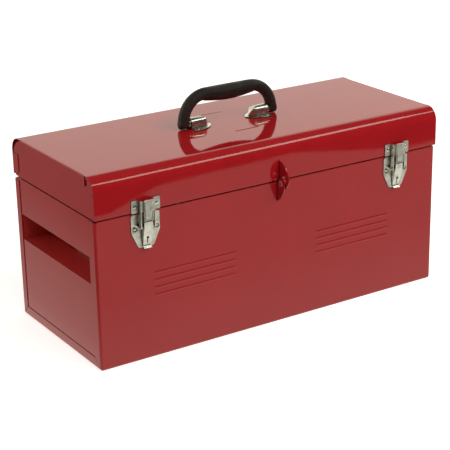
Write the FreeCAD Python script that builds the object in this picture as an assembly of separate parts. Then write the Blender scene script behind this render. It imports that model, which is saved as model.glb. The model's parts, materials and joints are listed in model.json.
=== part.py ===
import FreeCAD, Part
import math
import os

V = FreeCAD.Vector

# A sheet-steel toolbox with a lift-out tray. Millimetres. The origin is on the
# floor under the middle of the body. +X is the user's right, -Y the front, +Z up.

# Body
body_length = 510.0
body_depth = 215.0
body_height = 189.5
sheet = 0.8
bend_radius = 3.5          # outside radius of the body's folded edges
hem_height = 8.0           # depth of the folded-over rims
front_flange = 15.0        # width of the wrap's flange over each end, at the front
rear_flange = 13.5
bottom_flange = 13.5
mitre_gap = 0.5
rear_drop = 3.0            # the rear wall stops this far short, for the hinge
panel_return = 8.0         # top edge of an end panel, turned inwards

# Grip pocket in each end, whose roof also carries the tray
grip_height = 34.0
grip_depth = 37.0
grip_corner = 1.5
grip_front_margin = 2.5    # from the front flange to the opening
grip_rear_margin = 1.5

# Lid
seam_gap = 1.8
lid_height = 50.7
lid_overhang = 2.0         # how far the lid's front stands out past the body's
lid_radius = 17.5          # rolled front and rear top edges
lid_flange = 13.5          # the top's flange, folded down over each end
lid_flange_front_gap = 3.0 # from the rolled front edge to that flange
lid_flange_rear_gap = 8.0
lid_rear_strip = 15.0      # width of the rear's flange over each end
lid_strip_corner = 4.0
lid_strip_gap = 1.8        # from the rear's lower edge up to that flange
relief_radius = 1.5        # the slot through a lid end, under the rolled front edge
relief_top = 5.7           # its upper and lower centres, below the lid's top
relief_bottom = 10.8
nick_drop = 3.1            # the thin nick in a lid end, below the rolled edge
nick_half = 0.4
nick_depth = 4.0

# Pressed lines
rib_radius = 4.4
rib_proud = 0.48
rib_relief = 0.1           # the hollow behind a ridge has a radius this much smaller
rib_length = 114.0
rib_pitch = 9.5
rib_count = 4
rib_top_below_rim = 79.9
rib_group_offset = 119.5
lid_rib_length = 32.0
lid_rib_spacing = 87.0

# Hinge
hinge_length = 470.0
knuckle_count = 13
knuckle_radius = 2.4
hinge_pin_radius = 1.25
hinge_head_radius = 1.9
hinge_head_length = 0.8
hinge_leaf_height = 20.0
hinge_leaf_thickness = 1.0
running_gap = 0.05         # radial, round every turning pin
side_gap = 0.4             # between parts that move past each other

# Padlock hasp: two fins side by side
fin_thickness = 1.6
upper_fin_reach = 21.8
upper_fin_rise = 26.8      # tip above the middle of the seam
upper_fin_hook = 19.0      # reach of the nose below the seam
lower_fin_reach = 16.0
lower_fin_drop = 26.3      # tip below the middle of the seam
lower_fin_crown = 6.2
hasp_hole_radius = 4.4
hasp_hole_reach = 8.2
hasp_hole_drop = 2.6       # below the middle of the seam
hasp_slot_out = 4.2        # the upper fin's hole runs out and up by these
hasp_slot_up = 6.8
hasp_offset = 2.3

# Latches
latch_offset = 188.0
latch_width = 38.6
latch_sheet = 1.2
rivet_radius = 2.6
rivet_height = 1.3
rivet_shank = 1.6
rivet_seat = 0.6           # depth of the dimple under a base plate rivet
latch_rivet_spacing = 28.8
latch_rivet_drop = 18.5    # base plate's rivets below the body's rim
latch_base_length = 42.0
latch_base_waist = 22.4    # straight part of the base plate's sides
latch_base_tip = 22.4      # width of the base plate at its lower end
ear_inner = 3.2            # half distance between the base plate's ears
ear_radius = 2.6
lever_pin_radius = 1.5
lever_pivot_reach = 6.0    # out from the body's front
lever_pivot_drop = 8.0     # below the body's rim
link_pivot_reach = 5.6
link_pivot_drop = 16.0
lever_sheet = 1.0
lever_top_reach = 9.2      # the lever's face at its upper end
lever_knee_reach = 8.8
lever_knee_drop = 17.5     # below the body's rim, where the face starts to slope in
lever_taper_drop = 12.0    # below the knee, where the sides start to narrow
lever_end_reach = 3.4
lever_end_drop = 39.5
lever_tip_width = 10.4
lever_curl = 2.4           # how far the finger tip curls out
lever_back_reach = 1.9     # the walls' back edges, clear of the base plate
lock_hole_radius = 1.7
lock_hole_drop = 30.3
link_head_radius = 2.2     # peened heads of the link's pins
link_head_length = 0.8
link_arm_inner = 8.6       # half distance between the link's arms
link_arm_front = 8.4
link_arm_back = 4.0
link_eye_radius = 2.7
link_top_rise = 17.2       # top of the link above the body's rim
link_plate_half = 6.2      # the raised plate between the arms
link_plate_reach = 11.4
link_plate_height = 14.5
link_tongue_half = 4.4
link_tongue_reach = 10.6
link_tongue_gap = 0.6      # between the tongue's end and the frame round it
link_frame_strip = 1.0
link_roll_radius = 1.5     # the plate's rolled top edge
strike_height = 15.5
strike_notch_depth = 4.5   # between the ears' tops
strike_hook_rise = 3.0     # of the hook above the plate's lower edge
strike_hook_height = 6.0
strike_hook_reach = 6.8
strike_hook_half = 4.6

# Carrying handle
handle_span = 133.0        # between the two pivot feet, centre to centre
handle_shoulder_span = 128.0
handle_rise = 35.2         # from the pivot axis to the middle of the top bar
handle_shoulder_radius = 33.0
handle_radius = 7.4
handle_bulge_radius = 10.0
handle_bulge_sink = 0.2    # the bulge's top lies this far inside the bar
handle_bulge_end = 4.2     # radius at which the bulge runs out inside the bar
handle_bulge_length = 86.0
handle_rod_radius = 4.0
trunnion_radius = 5.5
trunnion_gap = 0.1         # radial, inside the brackets
foot_wall = 1.0            # grip material round the pivot end
grip_leg_start = 4.0       # the round leg starts this far above the pivot, clear of the lid when it swings
bracket_sheet = 1.4
bracket_length = 32.0
bracket_half_width = 16.0
bracket_straight = 13.0    # length of the hood before it falls away to its nose
bracket_nose = 4.5         # from the hood's nose to the flange's tip
bracket_rivet_inset = 6.0  # from the bracket's outer end
bracket_rivet_edge = 4.6   # from its sides
bracket_gap = 0.8          # from a bracket's outer end to the grip

# Tray
tray_height = 43.5
tray_sheet = 0.8
tray_clearance = 0.8       # between the tray's rim and the body's hems, each side
tray_rest_gap = 0.4        # above the pocket roofs
tray_rim_drop = 3.0        # rim below the body's rim
tray_bead = 3.0
tray_corner = 6.0
tray_fold = 2.5            # outside radius round the floor
divider_height = 26.0
divider_offset = 46.0      # behind the middle
tray_handle_span = 120.0
tray_handle_width = 16.0
tray_handle_sheet = 1.5
tray_handle_foot = 20.0
tray_handle_rise = 36.0    # above the tray's rim

# Places worked out from the sizes above
half = body_length / 2
front = -body_depth / 2
rear = body_depth / 2
lid_front = front - lid_overhang
lid_bottom = body_height + seam_gap
lid_top = lid_bottom + lid_height
pocket_roof = body_height - tray_rim_drop - tray_height - tray_rest_gap
grip_top = pocket_roof - sheet
grip_bottom = grip_top - grip_height
grip_front = front + front_flange + grip_front_margin
grip_rear = rear - rear_flange - grip_rear_margin
tray_bottom = pocket_roof + tray_rest_gap
tray_top = tray_bottom + tray_height
lever_wall = ear_inner + latch_sheet + side_gap + lever_sheet    # outside of the lever's walls
foot_radius = trunnion_radius + foot_wall
hood_radius = trunnion_radius + trunnion_gap + bracket_sheet
hinge_y = rear + knuckle_radius
hinge_z = body_height
handle_y = (lid_front + rear) / 2 + 2.0
handle_z = lid_top + hood_radius


def box(x, y, z):
    """A block from three (low, high) pairs."""
    return Part.makeBox(x[1] - x[0], y[1] - y[0], z[1] - z[0], V(x[0], y[0], z[0]))


def rod(radius, start, end):
    """A cylinder from one point to another."""
    run = end - start
    return Part.makeCylinder(radius, run.Length, start, run)


def joined(shapes):
    """One shape from several that touch or overlap."""
    return shapes[0].multiFuse(shapes[1:]).removeSplitter()


def capsule(radius, start, end):
    """A rod with round ends."""
    return joined([rod(radius, start, end), Part.makeSphere(radius, start), Part.makeSphere(radius, end)])


def plane_x(x):
    """Puts a flat (y, z) point in the plane at x."""
    return lambda a, b: V(x, a, b)


def plane_y(y):
    """Puts a flat (x, z) point in the plane at y."""
    return lambda a, b: V(a, y, b)


def plane_z(z):
    """Puts a flat (x, y) point in the plane at z."""
    return lambda a, b: V(a, b, z)


def latch_plane(x):
    """Puts a flat (reach out of the body's front, z) point in the plane at x."""
    return lambda a, b: V(x, front - a, b)


def direction(start, end):
    """Unit vector between two flat points."""
    length = math.hypot(end[0] - start[0], end[1] - start[1])
    return ((end[0] - start[0]) / length, (end[1] - start[1]) / length)


def round_corner(before, corner, after, radius):
    """Where an arc of this radius leaves and joins the two sides of a corner, its
    middle point, and the left-hand normals at the three."""
    into = direction(before, corner)
    out = direction(corner, after)
    turn = math.atan2(into[0] * out[1] - into[1] * out[0], into[0] * out[0] + into[1] * out[1])
    side = 1 if turn > 0 else -1
    back = radius * math.tan(abs(turn) / 2)
    start = (corner[0] - into[0] * back, corner[1] - into[1] * back)
    end = (corner[0] + out[0] * back, corner[1] + out[1] * back)
    centre = (start[0] - into[1] * side * radius, start[1] + into[0] * side * radius)
    away = direction(centre, corner)
    middle = (centre[0] + away[0] * radius, centre[1] + away[1] * radius)
    normals = [(-into[1], into[0]), (-away[0] * side, -away[1] * side), (-out[1], out[0])]
    return [start, middle, end], normals


def trace(points, radius, closed):
    """Straight runs and corner arcs through flat points, as (points, normals) pairs."""
    count = len(points)
    radii = radius if isinstance(radius, list) else [radius] * count
    runs = []
    last = None if closed else points[0]
    for i in range(count) if closed else range(1, count - 1):
        before, corner, after = points[i - 1], points[i], points[(i + 1) % count]
        if radii[i] > 0:
            arc, normals = round_corner(before, corner, after, radii[i])
        else:
            arc, normals = [corner], None
        if last is not None:
            runs.append(straight(last, arc[0]))
        if normals:
            runs.append((arc, normals))
        last = arc[-1]
    if closed:
        first = runs[0][0][0]
        if radii[0] > 0:
            runs.append(straight(last, first))
        else:
            runs.append(straight(last, points[0]))
    else:
        runs.append(straight(last, points[-1]))
    return [run for run in runs if run is not None]


def straight(start, end):
    """A straight run between two flat points, or None if they are the same."""
    if math.hypot(end[0] - start[0], end[1] - start[1]) < 1e-6:
        return None
    along = direction(start, end)
    normal = (-along[1], along[0])
    return [start, end], [normal, normal]


def edges_of(runs, place, offset=0.0):
    """Edges along the runs, moved to their left by the offset."""
    edges = []
    for points, normals in runs:
        moved = [place(p[0] + n[0] * offset, p[1] + n[1] * offset) for p, n in zip(points, normals)]
        if len(moved) == 2:
            edges.append(Part.LineSegment(moved[0], moved[1]).toShape())
        else:
            edges.append(Part.Arc(moved[0], moved[1], moved[2]).toShape())
    return edges


def plate(points, radius, place, depth):
    """A flat plate with rounded corners, as thick as the depth vector is long."""
    wire = Part.Wire(Part.__sortEdges__(edges_of(trace(points, radius, True), place)))
    return Part.Face(wire).extrude(depth)


def bent_sheet(points, radius, thickness, place, width):
    """A sheet bent along flat points. Its thickness lies to the left of the path."""
    runs = trace(points, radius, False)
    outer = edges_of(runs, place)
    inner = edges_of(runs, place, thickness)
    starts = Part.LineSegment(outer[0].Vertexes[0].Point, inner[0].Vertexes[0].Point).toShape()
    ends = Part.LineSegment(outer[-1].Vertexes[-1].Point, inner[-1].Vertexes[-1].Point).toShape()
    wire = Part.Wire(Part.__sortEdges__(outer + inner + [starts, ends]))
    return Part.Face(wire).extrude(width)


def arcs_plate(start, arcs, place, depth):
    """A plate whose outline runs from start through (middle, end) arcs, then closes straight.
    A middle of None is a straight run, and a depth of None gives the flat face."""
    edges = []
    here = place(*start)
    for middle, end in arcs:
        there = place(*end)
        if middle is None:
            edges.append(Part.LineSegment(here, there).toShape())
        else:
            edges.append(Part.Arc(here, place(*middle), there).toShape())
        here = there
    edges.append(Part.LineSegment(here, place(*start)).toShape())
    face = Part.Face(Part.Wire(edges))
    return face.extrude(depth) if depth else face


def mirrored(shape):
    """The same piece for the other end of the box."""
    return shape.mirror(V(0, 0, 0), V(1, 0, 0))


def hem(outer_y, inward, edge_z, up, length):
    """A rim folded over towards inward (+1 or -1 in Y); up is +1 where the sheet goes up from its edge."""
    fold_y = outer_y + inward * sheet
    fold_z = edge_z + up * sheet
    inner_y = fold_y + inward * sheet
    heights = sorted([fold_z, edge_z + up * hem_height])
    strip = box((-length / 2, length / 2), sorted([fold_y, inner_y]), heights)
    fold = rod(sheet, V(-length / 2, fold_y, fold_z), V(length / 2, fold_y, fold_z))
    return joined([strip, fold])


def dome_rivet(head, outward, radius=rivet_radius, shank=2.0):
    """A domed rivet. Its head sits on the surface at head and stands out along outward."""
    ball = (radius ** 2 + rivet_height ** 2) / (2 * rivet_height)
    dome = Part.makeSphere(ball, head + outward * (rivet_height - ball))
    cut = rod(radius + 1, head, head + outward * (rivet_height + 1))
    return joined([dome.common(cut), rod(rivet_shank, head - outward * shank, head)])


def pressed_line(skin, start, end, outward):
    """The skin with a narrow pressed ridge: a swage standing out, hollow behind."""
    inside = outward * (rib_proud - rib_radius)
    ridge = capsule(rib_radius, start + inside, end + inside)
    behind_ridge = inside - outward * sheet
    hollow = capsule(rib_radius - rib_relief, start + behind_ridge, end + behind_ridge)
    back = outward * -(sheet + rib_radius * 2)
    run = end - start
    across = run.cross(outward).normalize() * (rib_radius + 1)
    ends = run.normalize() * (rib_radius + 1)
    corners = [start - ends - across, start - ends + across, end + ends + across, end + ends - across]
    behind = Part.Face(Part.makePolygon([c - outward * sheet for c in corners + corners[:1]])).extrude(back)
    return skin.cut(hollow.cut(behind).fuse(hollow.common(behind))).fuse(ridge.cut(behind).cut(hollow))


pieces = {}


def add(name, shape):
    """Keeps a finished piece under its node name."""
    pieces[name] = shape


def body_wrap():
    """Front, bottom and rear in one folded sheet, with flanges turned over both ends."""
    outer = box((-half, half), (front, rear), (0, body_height - sheet))
    folded = [e for e in outer.Edges if e.CenterOfMass.z < body_height - sheet - 0.1]
    outer = outer.makeFillet(bend_radius, folded)
    inner = box((-half + sheet, half - sheet), (front + sheet, rear - sheet), (sheet, body_height + 1))
    folded = [e for e in inner.Edges if e.CenterOfMass.z < body_height]
    shell = outer.cut(inner.makeFillet(bend_radius - sheet, folded))
    across = (-half - 1, half + 1)
    gap = box(across, (front + front_flange, rear - rear_flange), (bottom_flange, body_height + 1))
    shell = shell.cut(gap)
    trim = (body_height - rear_drop, body_height + 1)
    shell = shell.cut(box(across, (rear - rear_flange - 1, rear + 1), trim))
    shell = shell.fuse(hem(front, 1, body_height, -1, body_length - 2 * bend_radius))
    for y, width in ((front, front_flange), (rear, rear_flange)):
        toward = 1 if y < 0 else -1
        corner = (y - toward * 2, -2 * bottom_flange / width)
        inner_corner = (y + toward * width, bottom_flange)
        slope = math.atan2(inner_corner[1] - corner[1], inner_corner[0] - corner[0])
        reach = math.hypot(inner_corner[0] - corner[0], inner_corner[1] - corner[1]) + 1
        for x in (-half - 1, half - sheet - 0.01):
            slit = box((0, sheet + 1.01), (0, reach), (-mitre_gap / 2, mitre_gap / 2))
            slit.rotate(V(0, 0, 0), V(1, 0, 0), math.degrees(slope))
            slit.translate(V(x, corner[0], corner[1]))
            keep = box((x, x + sheet + 1.01), (y + toward * 2.0, y + toward * (width + 2)) if toward > 0
                       else (y - width - 2, y - 2.0), (2.0, bottom_flange + 2))
            shell = shell.cut(slit.common(keep))
    for group in (-rib_group_offset, rib_group_offset):
        for i in range(rib_count):
            z = body_height - rib_top_below_rim - i * rib_pitch
            start = V(group - rib_length / 2, front, z)
            end = V(group + rib_length / 2, front, z)
            shell = pressed_line(shell, start, end, V(0, -1, 0))
    for x in (-latch_offset, latch_offset):
        for side in (-1, 1):
            point = V(x + side * latch_rivet_spacing / 2, front, body_height - latch_rivet_drop)
            shell = shell.cut(rod(rivet_shank, point + V(0, 2, 0), point - V(0, 2, 0)))
    return shell.removeSplitter()


def end_panel():
    """The left end of the body, welded behind the wrap's flanges."""
    margin = bend_radius + 0.2
    low, high = front + margin, rear - margin
    face_x = -half + sheet
    outline = [(low, margin), (high, margin), (high, body_height - rear_drop - 0.5),
               (high - rear_drop, body_height), (low, body_height)]
    panel = plate(outline, 0, plane_x(face_x), V(sheet, 0, 0))
    turned = box((face_x, face_x + panel_return), (low, high - rear_drop), (body_height - sheet, body_height))
    opening = box((face_x - 1, face_x + 2 * sheet), (grip_front, grip_rear), (grip_bottom, grip_top))
    sides = [e for e in opening.Edges if abs(e.CenterOfMass.x - face_x - sheet / 2) < sheet
             and abs(e.tangentAt(e.FirstParameter).x) > 0.9]
    opening = opening.makeFillet(grip_corner, sides)
    return joined([panel, turned]).cut(opening)


def grip_pocket():
    """The left hand-hold: an open box behind the end panel."""
    mouth = -half + 2 * sheet
    floor = -half + sheet + grip_depth
    outer = box((mouth, floor + sheet), (grip_front - sheet, grip_rear + sheet),
                (grip_bottom - sheet, pocket_roof))
    inner = box((mouth - 1, floor), (grip_front, grip_rear), (grip_bottom, grip_top))
    edges = [e for e in outer.Edges if abs(e.tangentAt(e.FirstParameter).x) > 0.9]
    outer = outer.makeFillet(grip_corner + sheet, edges)
    edges = [e for e in inner.Edges if abs(e.tangentAt(e.FirstParameter).x) > 0.9]
    return outer.cut(inner.makeFillet(grip_corner, edges))


def lid_wrap():
    """Front, top and rear of the lid in one sheet, with flanges turned over both ends."""
    rear_low = lid_bottom + rear_drop / 2
    path = [(lid_front, lid_bottom + sheet), (lid_front, lid_top), (rear, lid_top), (rear, rear_low)]
    skin = bent_sheet(path, lid_radius, -sheet, plane_x(-half), V(body_length, 0, 0))
    skin = skin.fuse(hem(lid_front, 1, lid_bottom, 1, body_length))
    flange_front = lid_front + lid_radius + lid_flange_front_gap
    flange_rear = rear - lid_radius - lid_flange_rear_gap
    bend = sheet * 2
    for side in (-1, 1):
        edge = side * half
        bend_x = sorted([edge, edge - side * bend])
        skin = skin.cut(box(bend_x, (flange_front, flange_rear), (lid_top - bend, lid_top)))
        points = [(edge, lid_top - lid_flange), (edge, lid_top), (edge - side * bend, lid_top)]
        turned = bent_sheet(points, bend - 0.01, side * sheet, plane_y(flange_front),
                            V(0, flange_rear - flange_front, 0))
        strip_x = sorted([edge, edge - side * sheet])
        low, high = rear_low + lid_strip_gap, lid_top - lid_radius - lid_strip_corner
        inner_y, outer_y = rear - lid_rear_strip, rear - sheet / 2
        outline = [(inner_y, low + lid_strip_corner), (inner_y + lid_strip_corner, low),
                   (rear - lid_strip_corner, low), (outer_y, low + lid_strip_corner), (outer_y, high), (inner_y, high)]
        strip = plate(outline, 0, plane_x(strip_x[0]), V(sheet, 0, 0))
        skin = skin.fuse([turned, strip])
    for y in (handle_y - lid_rib_spacing / 2, handle_y + lid_rib_spacing / 2):
        start = V(-lid_rib_length / 2, y, lid_top)
        end = V(lid_rib_length / 2, y, lid_top)
        skin = pressed_line(skin, start, end, V(0, 0, 1))
    for x, y in bracket_rivet_places():
        skin = skin.cut(rod(rivet_shank, V(x, y, lid_top - 3), V(x, y, lid_top + 1)))
    for x in (-latch_offset, latch_offset):
        for side in (-1, 1):
            point = V(x + side * latch_rivet_spacing / 2, lid_front, strike_rivet_z())
            skin = skin.cut(rod(rivet_shank, point + V(0, 3, 0), point - V(0, 3, 0)))
    return skin.removeSplitter()


def lid_end():
    """The left end of the lid, welded behind the wrap's flanges."""
    margin = sheet + 0.2
    face_x = -half + sheet
    low, high = lid_front + margin, rear - margin
    top = lid_top - margin - 0.8
    cut_back = rear_drop + 1.0
    outline = [(low, lid_bottom), (high - cut_back, lid_bottom), (high, lid_bottom + cut_back),
               (high, top), (low, top)]
    radii = [0, 0, 0, lid_radius + 8.0, lid_radius - margin]
    panel = plate(outline, radii, plane_x(face_x), V(sheet, 0, 0))
    turned = box((face_x, face_x + panel_return), (low + sheet, high - cut_back), (lid_bottom, lid_bottom + sheet))
    through = (face_x - 1, face_x + 3)
    relief_y = lid_front + lid_radius + 0.2
    ends = [lid_top - relief_bottom, lid_top - relief_top]
    slot = joined([box(through, (relief_y - relief_radius, relief_y + relief_radius), ends)]
                  + [rod(relief_radius, V(through[0], relief_y, z), V(through[1], relief_y, z)) for z in ends])
    nick_z = lid_top - lid_radius - nick_drop
    nick = box(through, (low - 1, low + nick_depth), (nick_z - nick_half, nick_z + nick_half))
    rim = box(through, (low - 1, lid_front + 2 * sheet + 0.2), (lid_bottom - 1, lid_bottom + hem_height + 0.5))
    return joined([panel, turned]).cut(slot).cut(nick).cut(rim)


def hinge_leaf(upper):
    """One leaf of the piano hinge, with its share of the knuckles."""
    way = 1 if upper else -1
    pitch = hinge_length / knuckle_count
    clear = knuckle_radius + side_gap
    heights = sorted([hinge_z + way * clear, hinge_z + way * hinge_leaf_height])
    leaf = box((-hinge_length / 2, hinge_length / 2), (rear, rear + hinge_leaf_thickness), heights)
    shapes = [leaf]
    bores = []
    for i in range(1 if upper else 0, knuckle_count, 2):
        x0 = -hinge_length / 2 + i * pitch + side_gap / 2
        x1 = -hinge_length / 2 + (i + 1) * pitch - side_gap / 2
        heights = sorted([hinge_z, hinge_z + way * (clear + 0.5)])
        shapes.append(box((x0, x1), (rear, rear + hinge_leaf_thickness), heights))
        shapes.append(rod(knuckle_radius, V(x0, hinge_y, hinge_z), V(x1, hinge_y, hinge_z)))
        bore_ends = [V(x0 - 0.1, hinge_y, hinge_z), V(x1 + 0.1, hinge_y, hinge_z)]
        bores.append(rod(hinge_pin_radius + running_gap, *bore_ends))
    return joined(shapes).cut(Part.makeCompound(bores))


def hinge_pin():
    """The wire through all the knuckles, peened over at both ends."""
    end = hinge_length / 2 + side_gap
    shapes = [rod(hinge_pin_radius, V(-end, hinge_y, hinge_z), V(end, hinge_y, hinge_z))]
    for side in (-1, 1):
        head = V(side * end, hinge_y, hinge_z)
        shapes.append(rod(hinge_head_radius, head, head + V(side * hinge_head_length, 0, 0)))
    return joined(shapes)


def hasp_fin(upper):
    """One half of the padlock hasp: a leaf-shaped fin standing out of the front."""
    seam = body_height + seam_gap / 2
    hole = (hasp_hole_reach, seam - hasp_hole_drop)
    if upper:
        x = hasp_offset + side_gap / 2
        out = upper_fin_reach
        nose = (upper_fin_hook, hole[1])
        under = (hole[0], hole[1] - hasp_hole_radius - 2.6)
        start = (lid_overhang, seam + upper_fin_rise)
        arcs = [((out * 0.63, seam + upper_fin_rise - 6.2), (out, seam + 7.6)), ((out, seam + 1.6), nose),
                ((nose[0] - 4.5, under[1] + 1.8), under), ((1.6, hole[1] - 3.0), (1.2, hole[1] + 1.6)),
                (None, (lid_overhang, lid_bottom - 0.4))]
    else:
        x = hasp_offset - side_gap / 2 - fin_thickness
        out = lower_fin_reach
        crown = (hasp_hole_reach - 0.8, seam + lower_fin_crown)
        start = (0.0, seam - lower_fin_drop)
        arcs = [((out * 0.74, seam - 15.6), (out, hole[1] + 0.8)), ((out * 0.84, seam + 3.9), crown),
                ((lid_overhang + 2.1, seam + 3.9), (lid_overhang + 1.2, body_height - 0.6)),
                (None, (0.0, body_height - 1.2))]
    fin = arcs_plate(start, arcs, latch_plane(x), V(fin_thickness, 0, 0))
    through = V(fin_thickness + 2, 0, 0)
    centre = latch_plane(x - 1)(hole[0], hole[1])
    fin = fin.cut(rod(hasp_hole_radius, centre, centre + through))
    if upper:
        far = centre + V(0, -hasp_slot_out, hasp_slot_up)
        side = V(0, hasp_slot_up, hasp_slot_out).normalize() * hasp_hole_radius
        corners = [centre + side, far + side, far - side, centre - side, centre + side]
        fin = fin.cut(rod(hasp_hole_radius, far, far + through))
        fin = fin.cut(Part.Face(Part.makePolygon(corners)).extrude(through))
    return fin


def strike_rivet_z():
    """Height of the rivets that hold the strike to the lid's front."""
    return lid_bottom + strike_height / 2


def latch_base():
    """The latch's plate on the body, with two ears that carry the lever."""
    top = body_height - 1.2
    bottom = top - latch_base_length
    wide = latch_width / 2
    narrow = latch_base_tip / 2
    outline = [(-wide, top), (-wide, top - latch_base_waist), (-narrow, bottom + 2), (-narrow + 2, bottom),
               (narrow - 2, bottom), (narrow, bottom + 2), (wide, top - latch_base_waist), (wide, top)]
    back = plate(outline, [2, 4, 1.5, 1, 1, 1.5, 4, 2], plane_y(front), V(0, -latch_sheet, 0))
    pivot_z = body_height - lever_pivot_drop
    shapes = [back]
    for side in (-1, 1):
        x = sorted([side * ear_inner, side * (ear_inner + latch_sheet)])
        heights = (pivot_z - ear_radius, pivot_z + ear_radius)
        shapes.append(box(x, (front - lever_pivot_reach, front - latch_sheet / 2), heights))
        centre = latch_plane(x[0])(lever_pivot_reach, pivot_z)
        shapes.append(rod(ear_radius, centre, centre + V(latch_sheet, 0, 0)))
    base = joined(shapes)
    centre = latch_plane(-latch_width)(lever_pivot_reach, pivot_z)
    base = base.cut(rod(lever_pin_radius + running_gap, centre, centre + V(2 * latch_width, 0, 0)))
    for side in (-1, 1):
        point = V(side * latch_rivet_spacing / 2, front - latch_sheet, body_height - latch_rivet_drop)
        seat = point + V(0, rivet_seat, 0)
        dimple = Part.makeCone(rivet_radius + 0.2, rivet_radius + 1.4, rivet_seat, seat, V(0, -1, 0))
        base = base.cut(dimple).cut(rod(rivet_shank, point + V(0, 2, 0), point - V(0, 1, 0)))
    return base


def latch_base_rivet_pair():
    """Two rivets through the base plate and the body's front."""
    heads = []
    for side in (-1, 1):
        seat = front - latch_sheet + rivet_seat
        point = V(side * latch_rivet_spacing / 2, seat, body_height - latch_rivet_drop)
        heads.append(dome_rivet(point, V(0, -1, 0), shank=latch_sheet - rivet_seat + sheet))
    return Part.makeCompound(heads)


def lever():
    """The hand lever: a channel that slopes in to the plate, with a lock hole and a curled tip."""
    pivot_z = body_height - lever_pivot_drop
    link_z = body_height - link_pivot_drop
    knee_z = body_height - lever_knee_drop
    end_z = body_height - lever_end_drop
    web_top = pivot_z - lever_pin_radius - side_gap
    tip = lever_tip_width / 2

    def solid(inset):
        """The channel's outside, or its hollow where inset is the sheet's thickness."""
        wide = lever_wall - inset
        narrow = tip - inset
        over = inset * 3
        taper_z = knee_z - lever_taper_drop
        outline = [(-wide, web_top + over), (-wide, taper_z), (-narrow, end_z - over), (narrow, end_z - over),
                   (wide, taper_z), (wide, web_top + over)]
        face = plate(outline, 0, plane_y(front), V(0, -lever_top_reach - 1, 0))
        back = lever_back_reach - over
        side = [(back, web_top + over), (back, end_z - over), (lever_end_reach - inset, end_z - over),
                (lever_end_reach - inset, end_z), (lever_knee_reach - inset, knee_z),
                (lever_top_reach - inset, web_top + over)]
        return face.common(plate(side, 0, latch_plane(-lever_wall - 1), V(2 * lever_wall + 2, 0, 0)))

    shapes = [solid(0).cut(solid(lever_sheet))]
    for side in (-1, 1):
        x = sorted([side * lever_wall, side * (lever_wall - lever_sheet)])
        depth = (front - lever_pivot_reach - ear_radius, front - lever_pivot_reach + ear_radius)
        shapes.append(box(x, depth, (web_top - 1, pivot_z)))
        centre = latch_plane(x[0])(lever_pivot_reach, pivot_z)
        shapes.append(rod(ear_radius, centre, centre + V(lever_sheet, 0, 0)))
    curl = [(lever_end_reach, end_z + 1.5), (lever_end_reach - 0.3, end_z - 1.4),
            (lever_end_reach + lever_curl, end_z - 4.2)]
    shapes.append(bent_sheet(curl, 2.2, -lever_sheet, latch_plane(-tip), V(2 * tip, 0, 0)))
    body = joined(shapes)
    hole = V(0, front, body_height - lock_hole_drop)
    reach = V(0, -lever_top_reach - 1, 0)
    slit = box((-lock_hole_radius / 3, lock_hole_radius / 3), (front + reach.y, front), (end_z + 1.5, hole.z))
    body = body.cut(rod(lock_hole_radius, hole, hole + reach)).cut(slit)
    for z, out in ((pivot_z, lever_pivot_reach), (link_z, link_pivot_reach)):
        centre = latch_plane(-latch_width)(out, z)
        body = body.cut(rod(lever_pin_radius, centre, centre + V(2 * latch_width, 0, 0)))
    return body


def lever_pin():
    """The pin that the lever turns on, flush with its walls."""
    centre = latch_plane(-lever_wall)(lever_pivot_reach, body_height - lever_pivot_drop)
    return rod(lever_pin_radius, centre, centre + V(2 * lever_wall, 0, 0))


def link_pins():
    """Two stub pins in the lever's walls that carry the link's arms."""
    stubs = []
    for side in (-1, 1):
        inner = latch_plane(side * (lever_wall - lever_sheet))(link_pivot_reach, body_height - link_pivot_drop)
        neck = V(side * (link_arm_inner + latch_sheet + side_gap), inner.y, inner.z)
        head = rod(link_head_radius, neck, neck + V(side * link_head_length, 0, 0))
        stubs.append(joined([rod(lever_pin_radius, inner, neck), head]))
    return Part.makeCompound(stubs)


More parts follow.
